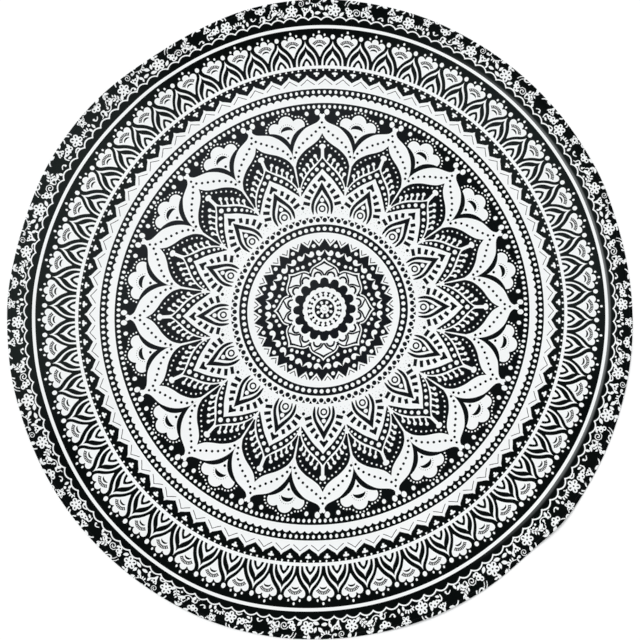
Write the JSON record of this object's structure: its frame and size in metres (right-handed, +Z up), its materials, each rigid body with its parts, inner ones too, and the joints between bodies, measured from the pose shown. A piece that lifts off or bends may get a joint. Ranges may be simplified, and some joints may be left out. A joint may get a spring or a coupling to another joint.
{
  "type": "round beach towel",
  "caption": "Round flat sheet of towelling with a narrow turned hem, laid out flat, with a black and white mandala print.",
  "frame": {"origin": "on the surface the towel lies on, at the middle of its bounding box", "axes": "+Z up, out of the printed face; +Y towards the far side of the picture, along the towel's longest width"},
  "size_m": [1.482, 1.525, 0.0077],
  "materials": {
    "printed_cloth": "matt towelling, white with a black print"
  },
  "bodies": {
    "root": {"towel": "printed_cloth"}
  },
  "joints": []
}
